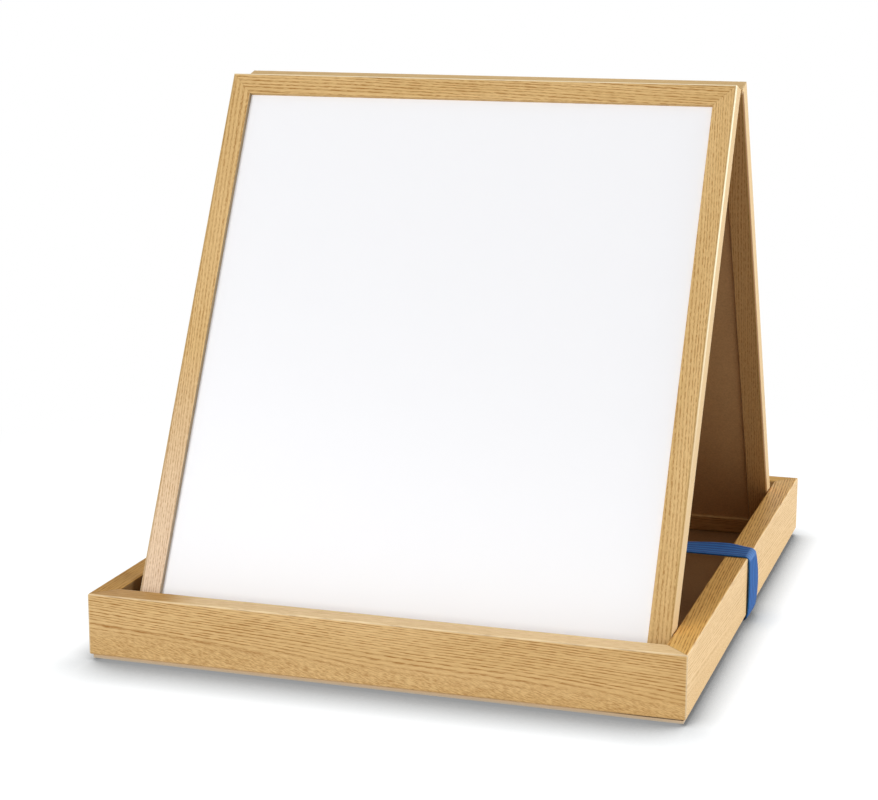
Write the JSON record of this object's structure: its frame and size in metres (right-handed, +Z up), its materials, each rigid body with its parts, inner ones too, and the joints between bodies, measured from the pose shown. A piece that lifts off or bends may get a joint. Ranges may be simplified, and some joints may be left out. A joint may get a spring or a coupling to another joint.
{
  "type": "desk whiteboard easel",
  "caption": "Folding desk easel: framed magnetic whiteboards hinged along the top stand as an A in a shallow oak-finish storage tray with an elastic strap round it.",
  "frame": {"origin": "on the surface the tray stands on, under the middle of the tray", "axes": "+X to the right along the front board's width, +Y from the front board to the back board, +Z up"},
  "size_m": [0.4482, 0.5, 0.4113],
  "materials": {
    "oak_foil": "oak-grain foil wrapped round fibreboard, satin",
    "tray_hardboard": "smooth brown hardboard",
    "beech": "plain beech, fluting left out",
    "core_fibreboard": "raw medium-density fibreboard",
    "brown_hardboard": "dark brown hardboard, smooth",
    "white_enamel": "glossy white enamel on thin steel sheet",
    "zinc_plated_steel": "bright zinc plating",
    "blue_elastic": "woven elastic webbing with fine ribs along it",
    "black_rubber": "matt black rubber pads"
  },
  "bodies": {
    "tray": {"tray_front_rail": "oak_foil", "tray_back_rail": "oak_foil", "tray_left_rail": "oak_foil", "tray_right_rail": "oak_foil", "tray_floor": "tray_hardboard", "tray_corner_dowels": "beech", "tray_floor_screws": "zinc_plated_steel", "rubber_feet": "black_rubber"},
    "strap": {"elastic_strap": "blue_elastic"},
    "easel_ridge": {"hinge_pins": "zinc_plated_steel"},
    "front_board": {"front_left_stile": "oak_foil", "front_right_stile": "oak_foil", "front_top_rail": "oak_foil", "front_bottom_rail": "oak_foil", "front_writing_sheet": "white_enamel", "front_core_board": "core_fibreboard", "front_backing_board": "brown_hardboard", "front_corner_nails": "zinc_plated_steel", "front_hinge_screws": "zinc_plated_steel", "left_hinge_front_leaf": "zinc_plated_steel", "right_hinge_front_leaf": "zinc_plated_steel"},
    "back_board": {"back_left_stile": "oak_foil", "back_right_stile": "oak_foil", "back_top_rail": "oak_foil", "back_bottom_rail": "oak_foil", "back_writing_sheet": "white_enamel", "back_core_board": "core_fibreboard", "back_backing_board": "brown_hardboard", "back_corner_nails": "zinc_plated_steel", "back_hinge_screws": "zinc_plated_steel", "left_hinge_back_leaf": "zinc_plated_steel", "right_hinge_back_leaf": "zinc_plated_steel"}
  },
  "joints": [
    {"name": "easel_lift", "type": "slide", "parent": "tray", "child": "easel_ridge", "axis": [0, 0, 1], "range_m": [0, 0.18]},
    {"name": "front_board_swing", "type": "hinge", "parent": "easel_ridge", "child": "front_board", "pos_m": [0.003, 0, 0.40687], "axis": [1, 0, 0], "range_deg": [0, 27.95]},
    {"name": "back_board_swing", "type": "hinge", "parent": "easel_ridge", "child": "back_board", "pos_m": [0.003, 0, 0.40687], "axis": [1, 0, 0], "range_deg": [-27.95, 0]},
    {"name": "strap_shift", "type": "slide", "parent": "tray", "child": "strap", "axis": [0, 1, 0], "range_m": [-0.08, 0.08]}
  ],
  "couplings": [
    {"joint": "front_board_swing", "follows": "easel_lift", "rad_per_m": 2.71},
    {"joint": "back_board_swing", "follows": "easel_lift", "rad_per_m": -2.71}
  ]
}
